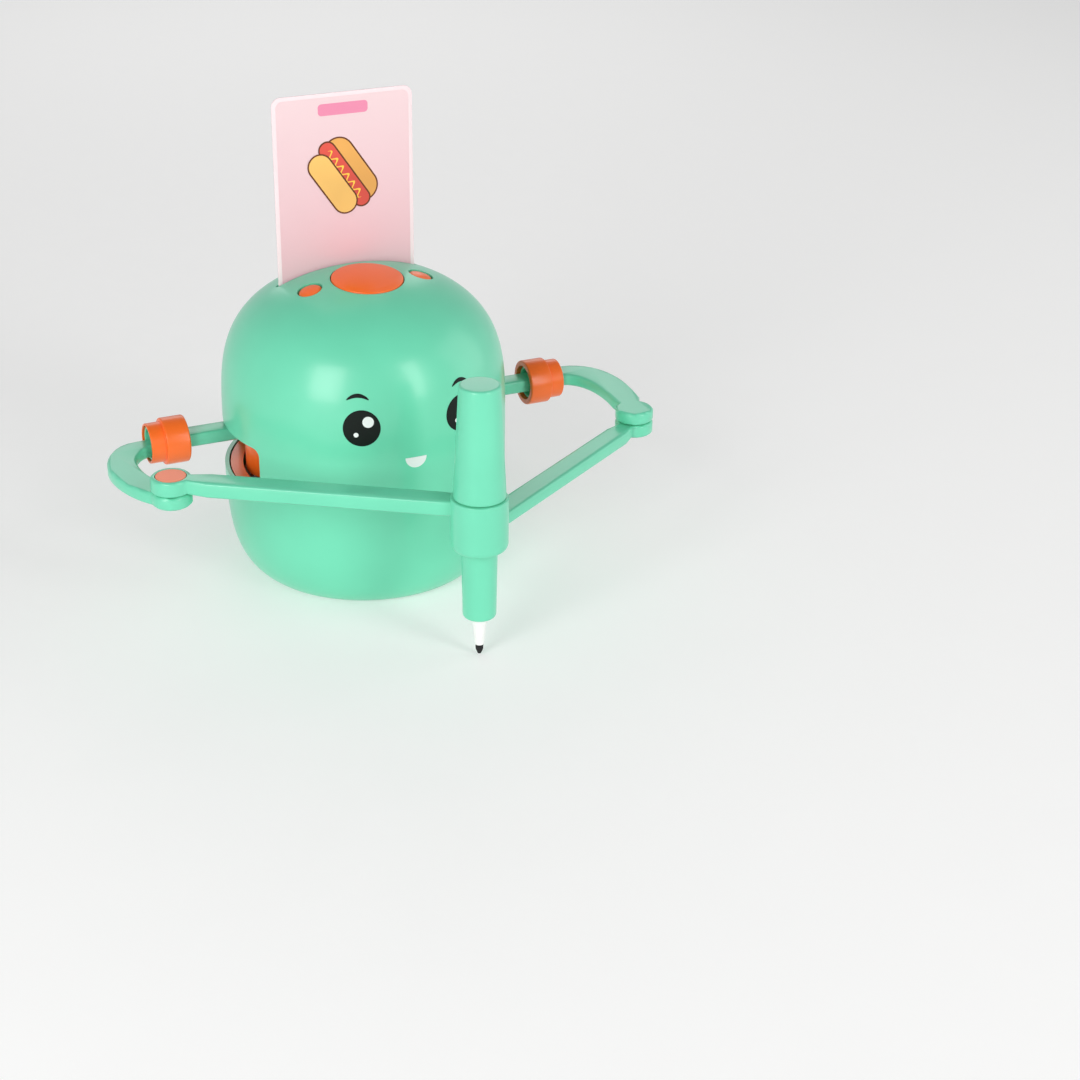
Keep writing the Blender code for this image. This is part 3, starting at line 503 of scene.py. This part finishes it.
def make_shells(looks):
    """Both halves of the barrel, with their windows, button holes and card slot."""
    outer = body_outline()
    inner = body_outline(SHELL_WALL, 24, 0.0040)
    lip = [(BASE_OPENING_RADIUS, 0.0040), (BASE_OPENING_RADIUS, SHELL_BOTTOM)]
    outline = outer + lip[::-1] + inner[::-1]
    front = turned("front_shell_skin", outline, steps=144)
    rear = turned("rear_shell_skin", outline, steps=144)
    carve(front, [box_tool((0, PARTING_Y - 0.1, 0.06), (0.2, 0.2, 0.2))], "INTERSECT")
    carve(rear, [box_tool((0, PARTING_Y + GAP + 0.1, 0.06), (0.2, 0.2, 0.2))], "INTERSECT")
    carve(front, [window_tool(sign) for _, sign in SIDES] + hole_tools())
    for made, node in ((front, "front_shell"), (rear, "rear_shell")):
        smooth_outside(made)
        dress(made, "root", looks["mint_plastic"], "mint_plastic", node)


# ---- Printed shapes ----
def printed(name, columns, place, lift, rows=6, thickness=0.00004):
    """Thin closed patch on a surface.

    Columns are (across, low, high), and `place` maps (across, up, lift) to space.
    """
    mesh = bmesh.new()
    layers = []
    for height in (lift, lift + thickness):
        grid = []
        for across, low, high in columns:
            column = [low + (high - low) * row / rows for row in range(rows + 1)]
            grid.append([mesh.verts.new(place(across, up, height)) for up in column])
        layers.append(grid)
    bottom, top = layers
    last = len(columns) - 1
    for i in range(last):
        for j in range(rows):
            mesh.faces.new((bottom[i][j], bottom[i + 1][j], bottom[i + 1][j + 1], bottom[i][j + 1]))
            mesh.faces.new((top[i][j], top[i][j + 1], top[i + 1][j + 1], top[i + 1][j]))
        mesh.faces.new((bottom[i][0], top[i][0], top[i + 1][0], bottom[i + 1][0]))
        mesh.faces.new((bottom[i][rows], bottom[i + 1][rows], top[i + 1][rows], top[i][rows]))
    for j in range(rows):
        mesh.faces.new((bottom[0][j], bottom[0][j + 1], top[0][j + 1], top[0][j]))
        mesh.faces.new((bottom[last][j], top[last][j], top[last][j + 1], bottom[last][j + 1]))
    bmesh.ops.remove_doubles(mesh, verts=mesh.verts, dist=1e-6)
    bmesh.ops.dissolve_degenerate(mesh, edges=mesh.edges, dist=1e-7)
    return add(name, mesh, CREASE_FROM)


def disc_columns(radius, x=0.0, y=0.0, steps=28):
    """Columns of a disc."""
    columns = []
    for step in range(steps + 1):
        turn = pi * step / steps
        half = radius * sin(turn)
        columns.append((x - radius * cos(turn), y - half, y + half))
    return columns


def capsule_columns(half_length, radius, steps=30):
    """Columns of a bar with round ends."""
    columns = []
    full = half_length + radius
    for step in range(steps + 1):
        across = -full * cos(pi * step / steps)
        over = max(abs(across) - half_length, 0)
        half = sqrt(max(radius * radius - over * over, 0))
        columns.append((across, -half, half))
    return columns


def rectangle_columns(width, height, corner, steps=8):
    """Columns of a rounded rectangle about its own centre."""
    columns = []
    turns = [pi / 2 * step / steps for step in range(steps + 1)]
    for turn in turns:
        half = height / 2 - corner + corner * sin(turn)
        columns.append((-width / 2 + corner - corner * cos(turn), -half, half))
    return columns + [(-across, low, high) for across, low, high in reversed(columns)]


def on_body(azimuth, height):
    """Place on the barrel's front, measured round its surface from an azimuth and a height."""
    girth = body_radius(height)

    def place(across, up, lift):
        turn = azimuth + across / girth
        z = height + up
        radius = body_radius(z)
        point = Vector((radius * sin(turn), -radius * cos(turn), z))
        return point + body_normal(point) * lift

    return place


def make_face(looks):
    """Simple friendly face printed on the barrel: two eyes, two brows and a smile."""
    pieces = []
    for side, sign in SIDES:
        eye = on_body(sign * EYE_AZIMUTH, EYE_Z)
        pieces.append((printed(f"{side}_eye", disc_columns(EYE_RADIUS), eye, PRINT_LIFT), "eye_black"))
        glint = disc_columns(0.0021, 0.0024, 0.0024)
        spark = disc_columns(0.0009, -0.0021, -0.0025)
        pieces.append((printed(f"{side}_eye_glint", glint, eye, SECOND_PRINT_LIFT), "eye_white"))
        pieces.append((printed(f"{side}_eye_spark", spark, eye, SECOND_PRINT_LIFT), "eye_white"))
        brow = on_body(sign * BROW_AZIMUTH, BROW_Z)
        columns = []
        for step in range(25):
            share = -1 + 2 * step / 24
            bow = BROW_BOW * (1 - share * share)
            thick = BROW_HALF_THICKNESS * sqrt(max(1 - share**2, 0))
            columns.append((BROW_HALF_LENGTH * share, bow - thick, bow + thick))
        pieces.append((printed(f"{side}_brow", columns, brow, PRINT_LIFT), "eye_black"))
    smile = []
    for step in range(29):
        share = -cos(pi * step / 28)
        smile.append((SMILE_RADIUS * share, -SMILE_RADIUS * sqrt(max(1 - share**2, 0)), 0.0))
    pieces.append((printed("smile", smile, on_body(0.0, SMILE_Z), PRINT_LIFT), "eye_white"))
    for made, look in pieces:
        slot_name = "dark_plastic" if look == "eye_black" else "white_plastic"
        dress(made, "root", looks[look], slot_name)


# ---- Card ----
def make_card(looks):
    """Picture card: rounded stock, printed ground, a blank label band and a bun with a filling.

    Each print is a layer a little further out than the one before it.
    """
    middle_z = CARD_BOTTOM_Z + CARD_HEIGHT / 2
    front_y = CARD_Y - CARD_THICKNESS / 2
    upright = Matrix(((1, 0, 0, CARD_X), (0, 0, 1, CARD_Y), (0, 1, 0, middle_z), (0, 0, 0, 1)))
    stock = rounded_rectangle(CARD_WIDTH, CARD_HEIGHT, CARD_CORNER)
    half = CARD_THICKNESS / 2
    body = slab("picture_card_stock", stock, -half, half, upright, 0.0001, CREASE_FROM)
    dress(body, "picture_card", looks["printed_card"], "printed_card", "picture_card")

    def on_card(x, z, angle=0.0):
        def place(across, up, lift):
            ahead = across * cos(angle) - up * sin(angle)
            above = across * sin(angle) + up * cos(angle)
            return Vector((CARD_X + x + ahead, front_y - lift, z + above))

        return place

    ground = rectangle_columns(CARD_WIDTH - 2 * GROUND_MARGIN, CARD_HEIGHT - 2 * GROUND_MARGIN, 0.0026)
    label = rectangle_columns(*LABEL_SIZE, 0.0014)
    label_z = CARD_BOTTOM_Z + CARD_HEIGHT - LABEL_BELOW_TOP
    picture_z = CARD_BOTTOM_Z + PICTURE_ABOVE_BOTTOM
    back = on_card(0.0025, picture_z + 0.0017, PICTURE_TILT)
    middle = on_card(0, picture_z, PICTURE_TILT)
    front = on_card(-0.0048, picture_z - 0.0033, PICTURE_TILT)
    prints = [
        ("card_ground", ground, on_card(0, middle_z), "card_ground"),
        ("card_label", label, on_card(0, label_z), "label"),
        ("card_bun_back_line", capsule_columns(0.0082, 0.0062), back, "bun_line"),
        ("card_bun_back", capsule_columns(0.0082, 0.0056), back, "bun_dark"),
        ("card_sausage_line", capsule_columns(0.0118, 0.0036), middle, "bun_line"),
        ("card_sausage", capsule_columns(0.0118, 0.0030), middle, "sausage"),
        ("card_mustard", wave_columns(0.0115, 0.0012, 0.00045, 6), middle, "mustard"),
        ("card_bun_front_line", capsule_columns(0.0086, 0.0050), front, "bun_line"),
        ("card_bun_front", capsule_columns(0.0086, 0.0044), front, "bun"),
    ]
    for layer, (name, columns, place, look) in enumerate(prints):
        made = printed(name, columns, place, 0.00001 + 0.00002 * layer, 4, 0.00003)
        dress(made, "picture_card", looks[look], "printed_card")


def wave_columns(half_length, swing, half_width, waves, steps=72):
    """Columns of a wavy ribbon."""
    columns = []
    for step in range(steps + 1):
        share = -1 + 2 * step / steps
        middle = swing * sin(pi * waves * share)
        taper = half_width * min(1, 6 * (1 - abs(share)) + 0.15)
        columns.append((half_length * share, middle - taper, middle + taper))
    return columns


# ---- Buttons, cuffs, hubs and pen ----
def make_buttons(looks):
    """Domed caps with a rounded rim, each on its plunger."""
    for name, at, radius in BUTTONS:
        seat = Vector((*at, dome_height(*at)))
        normal = body_normal(seat)
        plunger = (seat.z - SWITCH_TOP) / normal.z - BUTTON_TRAVEL - 0.0008
        crown = 0.0012 if radius > 0.01 else 0.0007
        rim = -0.0006
        steps = 14
        outline = [(radius * s / steps, rim + crown * (1 - (s / steps) ** 2)) for s in range(steps)]
        side = [(0, rim), (radius, rim - 0.0001, 0.0005), (radius, rim - 0.0050), (0, rim - 0.0050)]
        edge = fillet(side, 0.0)
        outline = outline[:-1] + [p for p in edge if p[0] > radius * 0.94]
        outline += [(radius - 0.0012, rim - 0.0050), (radius - 0.0012, rim - 0.0022)]
        outline += [(0.0017, rim - 0.0022), (0.0017, -plunger), (0, -plunger)]
        made = turned(f"{name}_cap", outline, seat, normal, 96)
        dress(made, name, looks["orange_plastic"], "orange_plastic", name)


def make_cuffs_and_hubs(looks):
    """Stepped cuffs, the sleeves inside them, and the shoulder drums with the sockets of the arms."""
    for side, sign in SIDES:
        body = f"{side}_upper_arm"
        axis = (0, SHOULDER_Y, ARM_AXIS_Z)
        inner, big, small = CUFF_INNER_X[side], CUFF_BIG_RADIUS, CUFF_SMALL_RADIUS
        step = inner + CUFF_BIG_LENGTH
        end = step + CUFF_SMALL_LENGTH
        cuff = [(CUFF_BORE_RADIUS, end, 0.0003), (small, end), (small, step, 0.0003), (big, step)]
        cuff += [(big, inner), (CUFF_BORE_RADIUS, inner, 0.0003)]
        made = turned(f"{side}_cuff_ring", fillet(cuff, 0.0007), axis, (sign, 0, 0), 112)
        dress(made, body, looks["orange_plastic"], "orange_plastic", f"{side}_cuff")

        near = inner + 0.0016
        far = end - 0.0008
        sleeve = [(SLEEVE_BORE_RADIUS, far), (SLEEVE_RADIUS, far), (SLEEVE_RADIUS, near)]
        sleeve += [(SLEEVE_BORE_RADIUS, near)]
        made = turned(f"{side}_arm_sleeve_ring", fillet(sleeve, 0.0003), axis, (sign, 0, 0), 96)
        dress(made, body, looks["mint_plastic"], "mint_plastic", f"{side}_arm_sleeve")

        hub = [(0.0032, HUB_TOP, 0.0003), (HUB_RADIUS, HUB_TOP, 0.0022), (HUB_RADIUS, HUB_BOTTOM)]
        hub += [(0.0032, HUB_BOTTOM, 0.0003)]
        shoulder = (sign * SHOULDER_X, SHOULDER_Y, 0)
        made = turned(f"{side}_hub_drum", fillet(hub, 0.0005), shoulder)
        socket_x = sign * (SHOULDER_X + HUB_RADIUS - 0.0030)
        socket = (0.0080, STUB_WIDTH + 2 * GAP, STUB_HEIGHT + 2 * GAP)
        carve(made, [box_tool((socket_x, SHOULDER_Y, ARM_AXIS_Z), socket)])
        made.data.shade_smooth()
        made.data.set_sharp_from_angle(angle=radians(SMOOTH_UP_TO))
        dress(made, body, looks["orange_plastic"], "orange_plastic", f"{side}_shoulder_hub")


def make_pen(looks):
    """Upper and lower sleeves, and the felt pen's cone and tip below them."""
    at = (*PEN_AT, 0)
    seat = COLLAR_TOP + GAP
    wide, narrow = PEN_UPPER_RADII
    socket = PEN_LOWER_RADII[0] + GAP
    bore = FELT_PEN_RADIUS + GAP
    upper = [(0, PEN_TOP), (narrow, PEN_TOP, 0.0012), (wide, seat, 0.0004), (socket, seat, 0.0002)]
    upper += [(socket, seat + 0.0090), (bore, seat + 0.0090), (bore, PEN_TOP - 0.0030), (0, PEN_TOP - 0.0030)]
    made = turned("pen_cap_sleeve", fillet(upper, 0.0, 8), at)
    dress(made, "pen", looks["mint_plastic"], "mint_plastic", "pen_upper_sleeve")

    wide, narrow = PEN_LOWER_RADII
    end = PEN_LOWER_END
    mouth = NOSE_RADII[0] + GAP
    lower = [(bore, seat + 0.0085), (wide, seat + 0.0085, 0.0003), (wide, COLLAR_BOTTOM - 0.0010, 0.0010)]
    lower += [(narrow, end, 0.0020), (mouth, end, 0.0003), (mouth, end + 0.0025), (bore, end + 0.0025)]
    made = turned("pen_grip_sleeve", fillet(lower, 0.0, 10), at)
    dress(made, "pen", looks["mint_plastic"], "mint_plastic", "pen_lower_sleeve")

    core_low = end + 0.0025 + GAP + 0.0040
    root, waist, point = NOSE_RADII
    nib_bore = 0.0013
    nose = [(nib_bore, core_low - GAP), (root - GAP, core_low - GAP), (root - GAP, 0.0135, 0.0010)]
    nose += [(waist, 0.0120, 0.0010), (waist - 0.0002, 0.0090, 0.0008), (point + 0.0002, 0.0080, 0.0006)]
    nose += [(point, NIB_TOP, 0.0002), (nib_bore, NIB_TOP)]
    made = turned("felt_pen_tip_cone", fillet(nose, 0.0, 5), at, steps=64)
    dress(made, "pen", looks["white_plastic"], "white_plastic", "felt_pen_nose")

    nib = nib_bore - GAP
    tip = [(0, core_low - 0.0010), (nib, core_low - 0.0010), (nib, NIB_TOP - GAP)]
    tip += [(0.0015, NIB_TOP - GAP, 0.0002), (0.0014, 0.0024, 0.0010), (0.0006, NIB_TIP, 0.0004)]
    tip += [(0, NIB_TIP)]
    made = turned("pen_nib_tip", fillet(tip, 0.0, 6), at, steps=48)
    dress(made, "pen", looks["black_felt"], "black_felt", "pen_nib")


# ---- CAD nodes that stay ----
def keep_nodes(looks):
    """Smooth shading over the rounded edges, and a finish by material slot, on every CAD node still shown."""
    slots = {entry["slot"] for entry in frame["record"]["materials"]}
    for node in frame["nodes"].values():
        if node.hide_render:
            continue
        named = [slot.material.name.split(".")[0] for slot in node.material_slots if slot.material]
        look = next(looks[slot_name] for slot_name in named if slot_name in slots)
        for slot in node.material_slots:
            slot.material = look
        if "custom_normal" in node.data.attributes:
            node.data.attributes.remove(node.data.attributes["custom_normal"])
        node.data.polygons.foreach_set("use_smooth", [True] * len(node.data.polygons))
        weld = node.modifiers.new("weld", "WELD")
        weld.merge_threshold = 1e-5
        split = node.modifiers.new("crease", "EDGE_SPLIT")
        split.split_angle = radians(CREASE_FROM)
        weigh = node.modifiers.new("normals", "WEIGHTED_NORMAL")
        weigh.mode = "FACE_AREA"
        weigh.keep_sharp = False


# ---- Stage ----
def area_light(name, energy, size, at, towards):
    data = bpy.data.lights.new(name, "AREA")
    data.energy = energy
    data.shape = "RECTANGLE"
    data.size, data.size_y = size
    made = bpy.data.objects.new(name, data)
    made.location = at
    made.rotation_mode = "QUATERNION"
    made.rotation_quaternion = (Vector(towards) - Vector(at)).to_track_quat("-Z", "Y")
    bpy.context.scene.collection.objects.link(made)


def make_stage():
    """Pale floor, a sky brighter near the horizon, two softboxes in front and two fills."""
    mesh = bmesh.new()
    half = 4.0
    corners = ((-half, -half), (half, -half), (half, half), (-half, half))
    mesh.faces.new([mesh.verts.new((x, y, -0.0001)) for x, y in corners])
    floor = add("floor", mesh)
    paper = finish("floor_paper", (0.66, 0.66, 0.655), (0.7, 0.85), 300.0, 0.02, blotch=0.004)
    paper.node_tree.nodes["Principled BSDF"].inputs["Emission Color"].default_value = (1, 1, 1, 1)
    paper.node_tree.nodes["Principled BSDF"].inputs["Emission Strength"].default_value = 0.34
    floor.data.materials.append(paper)

    world = bpy.data.worlds.new("studio")
    world.use_nodes = True
    sky = world.node_tree.nodes["Background"]
    sky.inputs["Color"].default_value = (1.0, 1.0, 1.0, 1)
    place = world.node_tree.nodes.new("ShaderNodeTexCoord")
    split = world.node_tree.nodes.new("ShaderNodeSeparateXYZ")
    fade = world.node_tree.nodes.new("ShaderNodeMapRange")
    fade.inputs["From Min"].default_value = 0.0
    fade.inputs["From Max"].default_value = 1.0
    fade.inputs["To Min"].default_value = 0.74
    fade.inputs["To Max"].default_value = 0.14
    world.node_tree.links.new(place.outputs["Generated"], split.inputs["Vector"])
    world.node_tree.links.new(split.outputs["Z"], fade.inputs["Value"])
    world.node_tree.links.new(fade.outputs["Result"], sky.inputs["Strength"])
    bpy.context.scene.world = world
    centre = (0, 0, 0.06)
    area_light("left_softbox", 7.0, (0.50, 0.80), (-0.82, -0.67, 0.50), centre)
    area_light("right_softbox", 3.6, (0.26, 0.80), (0.42, -0.97, 0.50), centre)
    area_light("right_fill", 2.2, (0.7, 0.9), (1.05, -0.25, 0.40), centre)
    area_light("back", 1.8, (0.8, 0.5), (0.30, 1.05, 0.60), centre)
    bpy.context.scene.view_settings.view_transform = "Standard"


def make_camera():
    """Camera in front of the robot, to its left and above it."""
    turn, rise, roll = radians(-24.935), radians(26.933), radians(-0.930)
    forward = Vector((-sin(turn) * cos(rise), cos(turn) * cos(rise), -sin(rise)))
    level = Vector((cos(turn), sin(turn), 0))
    down = forward.cross(level)
    x = cos(roll) * level + sin(roll) * down
    y = -sin(roll) * level + cos(roll) * down
    data = bpy.data.cameras.new("camera")
    data.lens = 70.92
    data.sensor_width = 36
    data.clip_start = 0.01
    made = bpy.data.objects.new("camera", data)
    bpy.context.scene.collection.objects.link(made)
    place = Matrix((x, -y, -forward)).transposed().to_4x4()
    place.translation = Vector((-0.26004, -0.72453, 0.39463))
    made.matrix_world = place
    bpy.context.scene.camera = made


def main():
    looks = make_looks()
    make_camera()
    make_stage()
    make_shells(looks)
    make_face(looks)
    make_card(looks)
    make_buttons(looks)
    make_cuffs_and_hubs(looks)
    make_pen(looks)
    keep_nodes(looks)


main()
